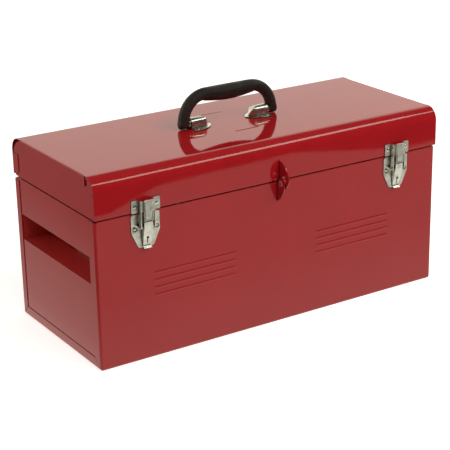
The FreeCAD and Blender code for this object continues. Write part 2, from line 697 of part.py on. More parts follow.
def latch_link():
    """The link that the lever pulls down: two arms, a raised plate across their tops and a tongue."""
    arm_outer = link_arm_inner + latch_sheet
    low = body_height - link_pivot_drop
    top = body_height + link_top_rise
    plate_bottom = top - link_plate_height
    frame_bottom = body_height - lever_pivot_drop
    shapes = []
    for side in (-1, 1):
        x = sorted([side * link_arm_inner, side * arm_outer])
        arm_top = top - 0.5
        outline = [(link_pivot_reach - link_eye_radius, low), (link_arm_back, low + 6.5), (link_arm_back, arm_top),
                   (link_arm_front, arm_top), (link_arm_front, low + 4.0), (link_pivot_reach + link_eye_radius, low)]
        shapes.append(plate(outline, [0, 3, 2, 0, 3, 0], latch_plane(x[0]), V(latch_sheet, 0, 0)))
        centre = latch_plane(x[0])(link_pivot_reach, low)
        shapes.append(rod(link_eye_radius, centre, centre + V(latch_sheet, 0, 0)))
        strip = sorted([side * (link_plate_half - link_frame_strip), side * link_plate_half])
        depth = (front - link_tongue_reach, front - link_tongue_reach + latch_sheet)
        shapes.append(box(strip, depth, (frame_bottom, plate_bottom + 1)))
    frame_top = frame_bottom + link_frame_strip
    shapes.append(box((-link_plate_half, link_plate_half), depth, (frame_bottom, frame_top)))
    tongue = (frame_top + link_tongue_gap, plate_bottom + 1)
    shapes.append(box((-link_tongue_half, link_tongue_half), depth, tongue))
    hat = [(-arm_outer, link_arm_front), (-link_plate_half, link_arm_front), (-link_plate_half, link_plate_reach),
           (link_plate_half, link_plate_reach), (link_plate_half, link_arm_front), (arm_outer, link_arm_front)]
    hat = [(x, front - reach) for x, reach in hat]
    shapes.append(bent_sheet(hat, [0, 0.5, 1.8, 1.8, 0.5, 0], latch_sheet, plane_z(plate_bottom),
                             V(0, 0, link_plate_height - 0.5)))
    roll_half = link_plate_half - 0.6
    roll = latch_plane(-roll_half)(link_plate_reach - link_roll_radius, top - 0.9)
    shapes.append(rod(link_roll_radius, roll, roll + V(2 * roll_half, 0, 0)))
    link = joined(shapes)
    centre = latch_plane(-latch_width)(link_pivot_reach, low)
    return link.cut(rod(lever_pin_radius + running_gap, centre, centre + V(2 * latch_width, 0, 0)))


def latch_strike():
    """The catch plate on the lid: two riveted ears and a turned-up hook between them."""
    bottom = lid_bottom - 0.2
    top = bottom + strike_height
    wide = latch_width / 2
    notch = link_arm_inner + latch_sheet + 0.1
    notch_z = top - strike_notch_depth
    outline = [(-wide, bottom), (wide, bottom), (wide, top), (notch, top), (notch, notch_z),
               (-notch, notch_z), (-notch, top), (-wide, top)]
    face = plate(outline, [1.5, 1.5, 2, 1.2, 0, 0, 1.2, 2], plane_y(lid_front), V(0, -latch_sheet, 0))
    hook_z = bottom + strike_hook_rise
    hook = [(lid_overhang + latch_sheet - 0.3, hook_z), (strike_hook_reach, hook_z),
            (strike_hook_reach, hook_z + strike_hook_height)]
    lip = bent_sheet(hook, 2.0, latch_sheet, latch_plane(-strike_hook_half), V(2 * strike_hook_half, 0, 0))
    strike = joined([face, lip])
    for side in (-1, 1):
        point = V(side * latch_rivet_spacing / 2, lid_front - latch_sheet, strike_rivet_z())
        strike = strike.cut(rod(rivet_shank, point + V(0, 3, 0), point - V(0, 1, 0)))
    return strike


def strike_rivet_pair():
    """Two rivets through the strike and the lid's front."""
    heads = []
    for side in (-1, 1):
        point = V(side * latch_rivet_spacing / 2, lid_front - latch_sheet, strike_rivet_z())
        heads.append(dome_rivet(point, V(0, -1, 0), shank=latch_sheet + sheet))
    return Part.makeCompound(heads)


def handle_path(start_height):
    """The line of the carrying handle, from foot to foot, in the plane of its pivots."""
    foot = handle_span / 2
    shoulder = handle_shoulder_span / 2
    lean = (foot - shoulder) / handle_rise
    start = (-foot + lean * start_height, handle_z + start_height)
    end = (foot - lean * start_height, handle_z + start_height)
    points = [start, (-shoulder, handle_z + handle_rise), (shoulder, handle_z + handle_rise), end]
    return Part.Wire(edges_of(trace(points, handle_shoulder_radius, False), plane_y(handle_y)))


def swept(radius, wire):
    """A round bar along a wire."""
    first = wire.Edges[0]
    start = first.valueAt(first.FirstParameter)
    along = first.tangentAt(first.FirstParameter)
    ring = Part.Wire(Part.makeCircle(radius, start, along))
    return wire.makePipeShell([ring], True, False)


def trunnion(side, inner, outer):
    """A round pivot end along X on one side, between two distances from the middle."""
    return rod(trunnion_radius, V(side * inner, handle_y, handle_z), V(side * outer, handle_y, handle_z))


def handle_core():
    """The steel bar inside the grip, whose ends turn inwards as the pivots."""
    foot = handle_span / 2
    shapes = [swept(handle_rod_radius, handle_path(0.0))]
    for side in (-1, 1):
        shapes.append(trunnion(side, bracket_outer() - bracket_straight, foot + handle_rod_radius))
    return joined(shapes)


def bracket_outer():
    """Distance from the middle to a bracket's outer end."""
    return handle_span / 2 - handle_radius - bracket_gap


def handle_grip():
    """The moulded grip over the steel bar, thicker under the fingers."""
    shapes = [swept(handle_radius, handle_path(grip_leg_start))]
    reach = handle_bulge_length / 2
    middle_z = handle_z + handle_rise + handle_radius - handle_bulge_sink - handle_bulge_radius
    end_z, crown_z = middle_z + handle_bulge_end, middle_z + handle_bulge_radius
    profile = arcs_plate((-reach, middle_z), [(None, (-reach, end_z)), ((0, crown_z), (reach, end_z)),
                                              (None, (reach, middle_z))], plane_y(handle_y), None)
    shapes.append(profile.revolve(V(0, handle_y, middle_z), V(1, 0, 0), 360))
    foot = handle_span / 2
    for side in (-1, 1):
        ends = [V(side * (foot + way * handle_radius), handle_y, handle_z) for way in (-1, 1)]
        shapes.append(rod(foot_radius, ends[0], ends[1]))
        block = box((side * foot - handle_radius, side * foot + handle_radius),
                    (handle_y - foot_radius, handle_y + foot_radius), (handle_z, handle_z + grip_leg_start + 1))
        upright = [e for e in block.Edges if abs(e.tangentAt(e.FirstParameter).z) > 0.9]
        shapes.append(block.makeFillet(foot_radius / 2, upright))
    return joined(shapes).cut(handle_core())


def bracket_rivet_places():
    """The (x, y) of the four rivets that hold the handle brackets."""
    x = bracket_outer() - bracket_rivet_inset
    y = bracket_half_width - bracket_rivet_edge
    return [(sx * x, handle_y + sy * y) for sx in (-1, 1) for sy in (-1, 1)]


def handle_bracket():
    """The left saddle: a pressed hood over the pivot end, on a leaf-shaped flange."""
    outer_x = -bracket_outer()
    tip_x = outer_x + bracket_length
    wide = bracket_half_width
    start = (outer_x, handle_y - wide)
    leaf = arcs_plate(start, [(None, (outer_x + 9, handle_y - wide)),
                              ((outer_x + 22, handle_y - wide * 0.72), (tip_x, handle_y)),
                              ((outer_x + 22, handle_y + wide * 0.72), (outer_x + 9, handle_y + wide)),
                              (None, (outer_x, handle_y + wide))], plane_z(lid_top), V(0, 0, bracket_sheet))

    def hood(inset, low, x_start):
        """The hood's outside, or its hollow where inset is the sheet's thickness."""
        radius = hood_radius - inset
        nose_x = tip_x - bracket_nose - inset
        fall_x = outer_x + bracket_straight
        top = handle_z + radius
        length = V(nose_x - x_start, 0, 0)
        arch = joined([rod(radius, V(x_start, handle_y, handle_z), V(x_start, handle_y, handle_z) + length),
                       box((x_start, nose_x), (handle_y - radius, handle_y + radius), (low, handle_z))])
        run = nose_x - fall_x
        rise = top - lid_top
        fall = (fall_x + run * 0.72, lid_top + rise * 0.70)
        side = arcs_plate((x_start, low - 1), [(None, (x_start, top)), (None, (fall_x, top)), (fall, (nose_x, lid_top)),
                                               (None, (nose_x, low - 1))], plane_y(handle_y - wide), V(0, 2 * wide, 0))
        plan = arcs_plate((x_start, handle_y - radius), [(None, (fall_x, handle_y - radius)),
                          ((fall_x + run * 0.72, handle_y - radius * 0.62), (nose_x, handle_y)),
                          ((fall_x + run * 0.72, handle_y + radius * 0.62), (fall_x, handle_y + radius)),
                          (None, (x_start, handle_y + radius))], plane_z(low), V(0, 0, top - low))
        return arch.common(side).common(plan)

    saddle = joined([leaf, hood(0, lid_top, outer_x)]).cut(hood(bracket_sheet, lid_top - 1, outer_x - 1))
    for sx, sy in bracket_rivet_places():
        saddle = saddle.cut(rod(rivet_shank, V(sx, sy, lid_top - 1), V(sx, sy, lid_top + 3)))
    return saddle


def bracket_rivet_set():
    """Four rivets through the brackets and the lid's top."""
    heads = []
    for x, y in bracket_rivet_places():
        heads.append(dome_rivet(V(x, y, lid_top + bracket_sheet), V(0, 0, 1), shank=bracket_sheet + sheet))
    return Part.makeCompound(heads)


def tray_half_sizes():
    """Half the tray's length and depth over its rim."""
    length = half - sheet - panel_return - tray_clearance
    depth = body_depth / 2 - 2 * sheet - tray_clearance
    return length, depth


def tray_block(inset, low, high, corner):
    """A block of the tray's plan, inset all round, with rounded upright corners."""
    length, depth = tray_half_sizes()
    block = box((-length + inset, length - inset), (-depth + inset, depth - inset), (low, high))
    upright = [e for e in block.Edges if abs(e.tangentAt(e.FirstParameter).z) > 0.9]
    return block.makeFillet(corner, upright)


def tray_pan():
    """The tray: an open pan with a beaded rim."""
    wall = tray_block(tray_bead, tray_bottom, tray_top - 0.5, tray_corner)
    lower = [e for e in wall.Edges if e.BoundBox.ZMax < tray_bottom + 0.01]
    wall = wall.makeFillet(tray_fold, lower)
    bead = tray_block(0, tray_top - tray_bead, tray_top, tray_corner + tray_bead)
    rounded = [e for e in bead.Edges if e.BoundBox.ZLength < 0.01]
    bead = bead.makeFillet(tray_bead / 2 - 0.15, rounded)
    floor = tray_bottom + tray_sheet
    hollow = tray_block(tray_bead + tray_sheet, floor, tray_top + 1, tray_corner - tray_sheet)
    lower = [e for e in hollow.Edges if e.BoundBox.ZMax < floor + 0.01]
    pan = joined([wall, bead]).cut(hollow.makeFillet(tray_fold - tray_sheet, lower))
    for x, y in tray_rivet_places():
        pan = pan.cut(rod(rivet_shank, V(x, y, tray_bottom - 1), V(x, y, tray_bottom + 3)))
    return pan


def tray_divider():
    """The lengthwise wall in the tray, with a foot turned along the floor."""
    length, _ = tray_half_sizes()
    reach = length - tray_bead - tray_sheet - 2.0
    floor = tray_bottom + tray_sheet
    points = [(divider_offset - 10, floor), (divider_offset, floor), (divider_offset, floor + divider_height)]
    return bent_sheet(points, 2.0, tray_sheet, plane_x(-reach), V(2 * reach, 0, 0))


def tray_rivet_places():
    """The (x, y) of the tray handle's rivets."""
    x = tray_handle_span / 2 + tray_handle_foot - 7.0
    return [(-x, 0.0), (x, 0.0)]


def tray_handle():
    """The tray's carrying strap, bent from flat bar."""
    floor = tray_bottom + tray_sheet
    top = tray_top + tray_handle_rise
    x = tray_handle_span / 2
    foot = x + tray_handle_foot
    points = [(-foot, floor), (-x, floor), (-x, top), (x, top), (x, floor), (foot, floor)]
    y = -tray_handle_width / 2
    radii = [0, 3.0, 12.0, 12.0, 3.0, 0]
    strap = bent_sheet(points, radii, tray_handle_sheet, plane_y(y), V(0, tray_handle_width, 0))
    for rx, ry in tray_rivet_places():
        strap = strap.cut(rod(rivet_shank, V(rx, ry, floor - 2), V(rx, ry, floor + 5)))
    return strap


def tray_rivet_set():
    """Two rivets that hold the strap to the tray's floor."""
    heads = []
    for x, y in tray_rivet_places():
        top = tray_bottom + tray_sheet + tray_handle_sheet
        heads.append(dome_rivet(V(x, y, top), V(0, 0, 1), shank=tray_sheet + tray_handle_sheet))
    return Part.makeCompound(heads)


add("body_wrap", body_wrap())
add("left_end_panel", end_panel())
add("right_end_panel", mirrored(end_panel()))
add("left_grip_pocket", grip_pocket())
add("right_grip_pocket", mirrored(grip_pocket()))
add("lid_wrap", lid_wrap())
add("left_lid_end", lid_end())
add("right_lid_end", mirrored(lid_end()))
add("hinge_leaf_lower", hinge_leaf(False))
add("hinge_leaf_upper", hinge_leaf(True))
add("hinge_pin", hinge_pin())
add("hasp_eye_lower", hasp_fin(False))
add("hasp_eye_upper", hasp_fin(True))

latch_pieces = {
    "latch_base": latch_base(),
    "latch_base_rivets": latch_base_rivet_pair(),
    "latch_lever": lever(),
    "lever_pin": lever_pin(),
    "link_pins": link_pins(),
    "latch_link": latch_link(),
    "latch_strike": latch_strike(),
    "latch_strike_rivets": strike_rivet_pair(),
}
for side_name, side_x in (("left", -latch_offset), ("right", latch_offset)):
    for piece_name, piece_shape in latch_pieces.items():
        add(side_name + "_" + piece_name, piece_shape.translated(V(side_x, 0, 0)))

add("handle_core", handle_core())
add("handle_grip", handle_grip())
add("left_handle_bracket", handle_bracket())
add("right_handle_bracket", mirrored(handle_bracket()))
add("bracket_rivets", bracket_rivet_set())
add("tray_pan", tray_pan())
add("tray_divider", tray_divider())
add("tray_handle", tray_handle())
add("tray_handle_rivets", tray_rivet_set())

os.makedirs("parts", exist_ok=True)
for node, shape in pieces.items():
    solids = shape.Solids
    kept = solids[0] if len(solids) == 1 else Part.makeCompound(solids)
    kept.exportStep("parts/" + node + ".step")
    print(node, len(solids), "solids", round(kept.Volume), "mm3", "valid" if kept.isValid() else "NOT VALID")
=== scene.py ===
import bpy
import bmesh
import json
import math
from mathutils import Matrix, Vector


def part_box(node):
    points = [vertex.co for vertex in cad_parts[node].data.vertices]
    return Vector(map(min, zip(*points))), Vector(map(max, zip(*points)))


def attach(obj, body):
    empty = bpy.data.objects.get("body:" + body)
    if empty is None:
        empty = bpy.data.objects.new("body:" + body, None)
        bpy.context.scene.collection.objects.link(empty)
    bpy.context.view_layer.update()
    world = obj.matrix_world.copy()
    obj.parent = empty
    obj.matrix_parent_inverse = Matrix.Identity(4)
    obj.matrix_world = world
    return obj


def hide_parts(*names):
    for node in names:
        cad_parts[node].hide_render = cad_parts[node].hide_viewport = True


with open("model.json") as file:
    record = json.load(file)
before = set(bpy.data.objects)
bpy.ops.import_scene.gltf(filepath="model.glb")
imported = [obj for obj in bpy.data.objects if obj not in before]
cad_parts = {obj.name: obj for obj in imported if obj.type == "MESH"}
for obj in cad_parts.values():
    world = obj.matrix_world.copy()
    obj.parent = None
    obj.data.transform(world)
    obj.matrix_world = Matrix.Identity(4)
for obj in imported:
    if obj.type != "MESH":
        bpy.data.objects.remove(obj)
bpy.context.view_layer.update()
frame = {"nodes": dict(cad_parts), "record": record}
nodes = frame["nodes"]
mm = 0.001
print("frame loaded:", len(nodes), "nodes")


def linear(hexColour):                       # sRGB hex to linear RGBA
    values = [int(hexColour[i:i + 2], 16) / 255 for i in (1, 3, 5)]
    return tuple(v / 12.92 if v <= 0.04045 else ((v + 0.055) / 1.055) ** 2.4 for v in values) + (1.0,)


def feed(tree, node, settings):              # a value is set, another node's output is linked
    for name, value in settings.items():
        if isinstance(value, bpy.types.NodeSocket):
            tree.links.new(value, node.inputs[name])
        elif isinstance(name, int) or name in node.inputs:
            node.inputs[name].default_value = value
        else:
            setattr(node, name, value)


def addNode(tree, kind, settings=None):
    node = tree.nodes.new(kind)
    feed(tree, node, settings or {})
    return node


def remap(tree, source, span, values=(0.0, 1.0), smooth=False):      # the source's span becomes these values
    settings = {"From Min": span[0], "From Max": span[1], "To Min": values[0], "To Max": values[1], "Value": source}
    if smooth:
        settings["interpolation_type"] = "SMOOTHSTEP"
    return addNode(tree, "ShaderNodeMapRange", settings).outputs[0]


def calculate(tree, operation, *terms):      # each term is a number or another node's output
    return addNode(tree, "ShaderNodeMath", {"operation": operation, **dict(enumerate(terms))}).outputs[0]


def blend(tree, factor, first, second):      # each end is a colour or another node's output
    return addNode(tree, "ShaderNodeMix", {"data_type": "RGBA", "Factor": factor, 6: first, 7: second}).outputs[2]


def noise(tree, spot, size, detail, roughness=0.5):      # size in mm
    settings = {"Scale": 1 / (size * mm), "Detail": detail, "Roughness": roughness, "Vector": spot}
    return addNode(tree, "ShaderNodeTexNoise", settings).outputs[0]


def bump(tree, height, depth, under=None):   # depth in mm; under is the coarser bump that it lies on
    settings = {"Strength": 1.0, "Distance": depth * mm, "Height": height}
    if under is not None:
        settings["Normal"] = under
    return addNode(tree, "ShaderNodeBump", settings).outputs[0]


def newMaterial(name):
    material = bpy.data.materials.new(name)
    material.use_nodes = True
    tree = material.node_tree
    tree.nodes.clear()
    shader = addNode(tree, "ShaderNodeBsdfPrincipled")
    addNode(tree, "ShaderNodeOutputMaterial", {"Surface": shader.outputs[0]})
    return material, tree, shader


cameraPlace = {
    "location": (-0.9443, -1.4697, 0.7471),  # metres, in front of the box and to its left
    "azimuth": -32.49,                       # degrees, as the next two
    "elevation": 20.33,
    "roll": -1.11,
    "lens": 113.0,
    "sensor": 36.0,
    "reach": 50.0,                           # far clipping distance
}


def makeCamera(place):
    azimuth, elevation, roll = (math.radians(place[k]) for k in ("azimuth", "elevation", "roll"))
    flat = math.cos(elevation)
    back = Vector((math.sin(azimuth) * flat, -math.cos(azimuth) * flat, math.sin(elevation)))
    right = Vector((math.cos(azimuth), math.sin(azimuth), 0))
    up = back.cross(right)
    turnedRight = right * math.cos(roll) + up * math.sin(roll)
    turnedUp = up * math.cos(roll) - right * math.sin(roll)
    data = bpy.data.cameras.new("camera")
    data.lens = place["lens"]
    data.sensor_width = place["sensor"]
    data.clip_end = place["reach"]
    camera = bpy.data.objects.new("camera", data)
    axes = Matrix((turnedRight, turnedUp, back)).transposed()
    camera.matrix_world = Matrix.Translation(Vector(place["location"])) @ axes.to_4x4()
    bpy.context.scene.collection.objects.link(camera)
    bpy.context.scene.camera = camera


makeCamera(cameraPlace)
print("camera placed")


studio = {
    "light": (1.0, 0.985, 0.87, 1.0),        # slightly warm softboxes on white paper
    "paper": "#f4f4f4",
    "paperRoughness": 0.9,
    "paperReach": 30.0,                      # metres from the box to the paper's edges
    "seenDrop": 0.2,                         # mm below the floor, one sheet under the other
    "bounceDrop": 0.4,
    "mirroredDrop": 0.6,
    "seenGlow": 0.62,                        # keeps the box's own shadow on the paper light
    "bounceGlow": 0.46,                      # what the paper gives back to the box's sides
    "mirrorFront": ((-0.13, 1.02), (-0.30, 0.76), (-0.75, 0.70)),    # y in metres, brightness of the paper there
    "mirrorLeft": ((-0.25, 1.0), (-0.29, 0.66), (-0.50, 0.20)),      # x in metres, share of it that is left there
    "mirrorOutline": ((-1.6, -0.60), (0.02, -0.60), (0.16, -0.69), (0.45, -0.71), (0.60, -0.60), (1.6, -0.58),
                      (1.6, 3.0), (-1.6, 3.0)),
    "lampDistance": 2.6,
    "lampAim": 0.15,                         # height above the floor that the lamps stand round
    "rearLevel": 1.02,                       # the white wall behind, between rearSides and up to rearTop
    "rearSides": (-0.02, 0.22),
    "rearTop": (0.72, 0.55),
    "horizonLevel": 0.06,
    "overheadLevel": 0.16,
    "overheadRise": (0.2, 0.9),              # from the horizon's level to the one overhead
}
lamps = {                                    # direction from the box, size in metres, watts, mirrored in the gloss
    "keySoftbox": ((0.504, -0.479, 0.719), (1.4, 0.42), 9.0, True),
    "keyFill": ((0.504, -0.479, 0.719), (1.4, 0.8), 18.0, False),
    "frontFill": ((0.05, -0.86, 0.50), (2.4, 1.4), 36.0, False),
    "leftFill": ((-0.80, -0.10, 0.58), (1.6, 1.2), 8.0, False),
}
black, white = (0, 0, 0, 1), (1, 1, 1, 1)


def makeSheet(name, outline, drop, material):
    mesh = bpy.data.meshes.new(name)
    mesh.from_pydata([(x, y, -drop * mm) for x, y in outline], [], [tuple(range(len(outline)))])
    mesh.materials.append(material)
    obj = bpy.data.objects.new(name, mesh)
    bpy.context.scene.collection.objects.link(obj)
    obj.visible_camera = name == "paperSeen"
    obj.visible_glossy = name == "paperMirrored"
    obj.visible_diffuse = name == "paperBounce"
    obj.visible_transmission = obj.visible_shadow = False


def ramp(tree, source, points):              # piecewise level along one axis, points from near to far
    level = None
    for (near, low), (far, high) in zip(points, points[1:]):
        part = remap(tree, source, (near, far), (low, high))
        if level is not None:                # each stretch adds only its own change
            part = calculate(tree, "ADD", level, calculate(tree, "SUBTRACT", part, low))
        level = part
    return level


def makeFloor():
    reach = studio["paperReach"]
    wide = ((-reach, -reach), (reach, -reach), (reach, reach), (-reach, reach))
    seen, tree, shader = newMaterial("paperSeen")            # matt white paper roll, as the lens sees it
    feed(tree, shader, {"Base Color": linear(studio["paper"]), "Roughness": studio["paperRoughness"],
                        "Emission Color": white, "Emission Strength": studio["seenGlow"]})
    makeSheet("paperSeen", wide, studio["seenDrop"], seen)
    bounce, tree, shader = newMaterial("paperBounce")        # the warm light that it throws back
    feed(tree, shader, {"Base Color": black, "Emission Color": studio["light"],
                        "Emission Strength": studio["bounceGlow"]})
    makeSheet("paperBounce", wide, studio["bounceDrop"], bounce)
    mirrored, tree, shader = newMaterial("paperMirrored")    # the same paper in the gloss, dimmer farther from the box
    place = addNode(tree, "ShaderNodeTexCoord")
    axes = addNode(tree, "ShaderNodeSeparateXYZ", {0: place.outputs["Object"]})
    along = ramp(tree, axes.outputs["Y"], studio["mirrorFront"])
    aside = ramp(tree, axes.outputs["X"], studio["mirrorLeft"])
    feed(tree, shader, {"Base Color": black, "Emission Color": studio["light"],
                        "Emission Strength": calculate(tree, "MULTIPLY", along, aside)})
    makeSheet("paperMirrored", studio["mirrorOutline"], studio["mirroredDrop"], mirrored)


def makeWorld():
    world = bpy.data.worlds.new("studio")
    bpy.context.scene.world = world
    world.use_nodes = True
    tree = world.node_tree
    tree.nodes.clear()
    place = addNode(tree, "ShaderNodeTexCoord")
    axes = addNode(tree, "ShaderNodeSeparateXYZ", {0: place.outputs["Generated"]})
    behind = remap(tree, axes.outputs["Y"], studio["rearSides"], smooth=True)
    low = remap(tree, axes.outputs["Z"], studio["rearTop"], smooth=True)
    wall = calculate(tree, "MULTIPLY", behind, low)
    levels = (studio["horizonLevel"], studio["overheadLevel"])
    overhead = remap(tree, axes.outputs["Z"], studio["overheadRise"], levels, smooth=True)
    level = calculate(tree, "MULTIPLY_ADD", wall, studio["rearLevel"], overhead)
    lit = addNode(tree, "ShaderNodeBackground", {"Color": studio["light"], "Strength": level})
    plain = addNode(tree, "ShaderNodeBackground", {"Color": white})
    rays = addNode(tree, "ShaderNodeLightPath")
    seen = addNode(tree, "ShaderNodeMixShader", {0: rays.outputs["Is Camera Ray"], 1: lit.outputs[0],
                                                 2: plain.outputs[0]})
    addNode(tree, "ShaderNodeOutputWorld", {"Surface": seen.outputs[0]})


def makeLamp(name, direction, size, power, mirrored):
    data = bpy.data.lights.new(name, "AREA")
    data.shape = "RECTANGLE"
    data.size, data.size_y = size
    data.energy = power
    data.color = studio["light"][:3]
    lamp = bpy.data.objects.new(name, data)
    toward = Vector(direction).normalized()
    lamp.location = toward * studio["lampDistance"] + Vector((0, 0, studio["lampAim"]))
    lamp.rotation_mode = "QUATERNION"
    lamp.rotation_quaternion = (-toward).to_track_quat("-Z", "Y")
    lamp.visible_glossy = mirrored
    bpy.context.scene.collection.objects.link(lamp)


makeFloor()
makeWorld()
for name, lamp in lamps.items():
    makeLamp(name, *lamp)
bpy.context.scene.view_settings.view_transform = "Standard"
print("studio lit")


masks = {
    "creviceSamples": 6,
    "creviceSpan": (0.86, 0.35),             # openness where a joint's shade begins, and where it's full
    "edgeSamples": 4,
}


def paintedShadeMask(tree, reach):                # 1 deep in a joint, 0 in the open, from ambient occlusion, to place painted shade; reach in mm
    shade = addNode(tree, "ShaderNodeAmbientOcclusion", {"samples": masks["creviceSamples"], "Distance": reach * mm})
    return remap(tree, shade.outputs["AO"], masks["creviceSpan"], smooth=True)


def edgeMask(tree, width, span):             # 1 on sharp edges, 0 on open faces, from rounding the normal
    flat = addNode(tree, "ShaderNodeNewGeometry")
    rounded = addNode(tree, "ShaderNodeBevel", {"samples": masks["edgeSamples"], "Radius": width * mm})
    match = addNode(tree, "ShaderNodeVectorMath", {"operation": "DOT_PRODUCT", 0: flat.outputs["Normal"],
                                                   1: rounded.outputs[0]})
    return remap(tree, match.outputs["Value"], span, smooth=True)


enamel = {
    "colour": "#a2151d",
    "thinColour": "#8a0c14",                 # where the paint draws back from a folded edge
    # painted shade: a near black red laid into laps and joints, where they fall into shadow
    "paintedShadeColour": "#2a0305",
    "ior": 1.5,
    "roughness": (0.035, 0.085),             # clean film, and where hands have dulled it
    "dullSpan": (0.42, 0.78),                # of the smears
    "depth": (0.95, 1.05),                   # how the film's thickness changes its brightness
    "depthSpan": (0.3, 0.7),                 # of the smears
    "smearSize": 70.0,                       # mm
    "smearDetail": 6.0,
    "smearRoughness": 0.62,
    "edgeWidth": 0.9,                        # mm, how far the thin band reaches from an edge
    "edgeSpan": (0.995, 0.90),               # how well the rounded normal fits on a face, and on an edge
    "crevice": 2.4,                          # mm, reach of the painted shade in laps and joints
    "waveSize": 85.0,                        # mm, the sheet's own slow waviness
    "waveDetail": 1.0,
    "waveDepth": 0.10,
    "peelSize": 4.5,                         # mm from crest to crest of the orange peel
    "peelDetail": 2.0,
    "peelDepth": 0.012,
    "fleckSpacing": 8.1,                     # mm between the dust nibs in the film
    "fleckReach": 0.11,                      # a nib's radius as a share of that
    "fleckDepth": 0.010,
}


def makeEnamel(name, look):                  # stoving enamel, sprayed and baked: deep, wet-looking, a little wavy
    material, tree, shader = newMaterial(name)
    spot = addNode(tree, "ShaderNodeTexCoord").outputs["Object"]
    smear = noise(tree, spot, look["smearSize"], look["smearDetail"], look["smearRoughness"])
    edge = edgeMask(tree, look["edgeWidth"], look["edgeSpan"])
    colour = blend(tree, edge, linear(look["colour"]), linear(look["thinColour"]))
    depth = remap(tree, smear, look["depthSpan"], look["depth"])
    varied = addNode(tree, "ShaderNodeHueSaturation", {"Color": colour, "Value": depth}).outputs[0]
    joint = paintedShadeMask(tree, look["crevice"])
    wave = noise(tree, spot, look["waveSize"], look["waveDetail"])
    peel = noise(tree, spot, look["peelSize"], look["peelDetail"])
    flecks = addNode(tree, "ShaderNodeTexVoronoi", {"Scale": 1 / (look["fleckSpacing"] * mm), "Vector": spot})
    nib = remap(tree, flecks.outputs["Distance"], (look["fleckReach"], 0.0))
    waved = bump(tree, wave, look["waveDepth"])
    peeled = bump(tree, peel, look["peelDepth"], waved)
    # the base colour turns to the painted shade colour in laps and joints
    feed(tree, shader, {"IOR": look["ior"], "Base Color": blend(tree, joint, varied, linear(look["paintedShadeColour"])),
                        "Roughness": remap(tree, smear, look["dullSpan"], look["roughness"]),
                        "Normal": bump(tree, nib, look["fleckDepth"], peeled)})
    return material


nickel = {
    "colour": "#e8e6de",
    "dullColour": "#c2beb2",                 # tarnish in patches
    "paintedGapShadeColour": "#1d1a16",                # painted shade in the joints, where the gaps look dark
    "burnished": "#f4f2ec",                  # edges rubbed bright
    "roughness": (0.24, 0.38),
    "roughSpan": (0.35, 0.7),                # of the patches
    "tarnishSize": 9.0,                      # mm
    "tarnishDetail": 5.0,
    "tarnishSpan": (0.45, 0.75),
    "edgeWidth": 0.5,                        # mm
    "edgeSpan": (0.99, 0.85),
    "crevice": 3.6,                          # mm, reach of the painted shade
    "streakSpacing": 1.1,                    # mm; the rolling lines are finer, drawn coarser to show
    "streakDetail": 3.0,
    "streakStretch": (1.0, 1.0, 0.06),       # the lines run up and down
    "streakDepth": 0.0025,
}


def makeNickel(name, look):                  # bright nickel on stamped steel: a warm grey mirror, softened by fine lines
    material, tree, shader = newMaterial(name)
    spot = addNode(tree, "ShaderNodeTexCoord").outputs["Object"]
    stretched = addNode(tree, "ShaderNodeMapping", {"Scale": look["streakStretch"], "Vector": spot}).outputs[0]
    streaks = noise(tree, stretched, look["streakSpacing"], look["streakDetail"])
    patches = noise(tree, spot, look["tarnishSize"], look["tarnishDetail"])
    tarnish = remap(tree, patches, look["tarnishSpan"])
    edge = edgeMask(tree, look["edgeWidth"], look["edgeSpan"])
    base = blend(tree, tarnish, linear(look["colour"]), linear(look["dullColour"]))
    worn = blend(tree, edge, base, linear(look["burnished"]))
    joint = paintedShadeMask(tree, look["crevice"])
    # painted shade: the joints of the plated parts turn near black
    feed(tree, shader, {"Metallic": 1.0, "Base Color": blend(tree, joint, worn, linear(look["paintedGapShadeColour"])),
                        "Roughness": remap(tree, patches, look["roughSpan"], look["roughness"]),
                        "Normal": bump(tree, streaks, look["streakDepth"])})
    return material


gripLook = {
    "colour": "#1b1514",
    "rubbedColour": "#3a322f",
    "ior": 1.49,
    "roughness": (0.62, 0.42),               # as moulded, and where hands have rubbed it
    "grainSize": 1.5,                        # mm; the spark-eroded grain is about 0.5, drawn coarser to show
    "grainSmoothness": 0.6,
    "grainDepth": 0.32,
    "crestSpan": (0.35, 0.75),               # of the grain, the part that gets rubbed
    "fineShare": 0.35,                       # of a grain of half the size, laid over it
    "fineDetail": 3.0,
    "rubSize": 26.0,                         # mm
    "rubDetail": 4.0,
    "rubSpan": (0.4, 0.7),
}


def makeGripPolymer(name, look):             # polypropylene from a spark-eroded mould: dull black with a pebbled grain
    material, tree, shader = newMaterial(name)
    spot = addNode(tree, "ShaderNodeTexCoord").outputs["Object"]
    grain = addNode(tree, "ShaderNodeTexVoronoi", {"feature": "SMOOTH_F1", "Scale": 1 / (look["grainSize"] * mm),
                                                   "Smoothness": look["grainSmoothness"], "Vector": spot})
    pebble = grain.outputs["Distance"]
    fine = noise(tree, spot, look["grainSize"] / 2, look["fineDetail"])
    rub = noise(tree, spot, look["rubSize"], look["rubDetail"])
    height = calculate(tree, "MULTIPLY_ADD", fine, look["fineShare"], pebble)
    polish = remap(tree, rub, look["rubSpan"])
    worn = calculate(tree, "MULTIPLY", polish, remap(tree, pebble, look["crestSpan"]))
    feed(tree, shader, {"IOR": look["ior"],
                        "Base Color": blend(tree, worn, linear(look["colour"]), linear(look["rubbedColour"])),
                        "Roughness": remap(tree, polish, (0.0, 1.0), look["roughness"]),
                        "Normal": bump(tree, height, look["grainDepth"])})
    return material


trayLook = {**enamel, "roughness": (0.10, 0.24), "smearSize": 30.0, "peelDepth": 0.02}
pocketLitLook = {**enamel, "colour": "#bb3533", "roughness": (0.10, 0.20)}      # a lighter red: painted light standing in for the light that reaches the pocket's floor
hingeLook = {**enamel, "roughness": (0.08, 0.20), "edgeWidth": 0.6}

